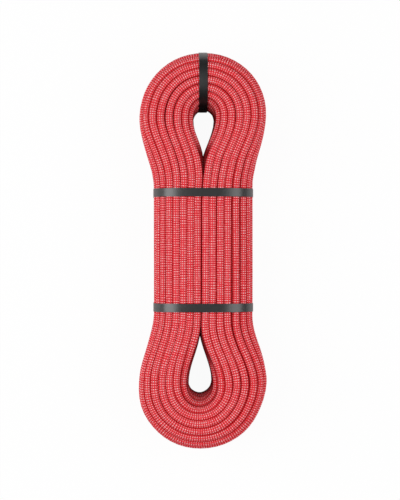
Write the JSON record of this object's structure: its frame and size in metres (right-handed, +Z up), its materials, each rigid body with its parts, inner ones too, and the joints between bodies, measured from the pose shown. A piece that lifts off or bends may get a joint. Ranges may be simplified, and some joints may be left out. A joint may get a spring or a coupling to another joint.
{
  "type": "dynamic climbing rope",
  "caption": "Braided climbing rope wound in a flat long hank with an eye at each end, held by two waist bands and one band round a loop.",
  "frame": {"origin": "centre of the hank's footprint, on the surface it lies on", "axes": "+Y along the hank towards the loop with the band, +X across it, +Z up out of its front face"},
  "size_m": [0.1672, 0.5184, 0.098],
  "materials": {
    "rope": "braided polyamide sheath, matte",
    "band": "dark grey strap, semi-gloss",
    "core_yarn": "white twisted polyamide yarn",
    "marker": "black shrunk sleeve, bare",
    "fused_nylon": "melted and hardened rope end"
  },
  "bodies": {
    "root": {"rope_winding": "rope", "inner_turns": "rope", "upper_waist_band": "band", "lower_waist_band": "band", "upper_loop_band": "band", "start_sheath": "rope", "start_core_strands": "core_yarn", "start_marker_sleeve": "marker", "start_fused_tip": "fused_nylon", "finish_sheath": "rope", "finish_core_strands": "core_yarn", "finish_marker_sleeve": "marker", "finish_fused_tip": "fused_nylon"}
  },
  "joints": []
}
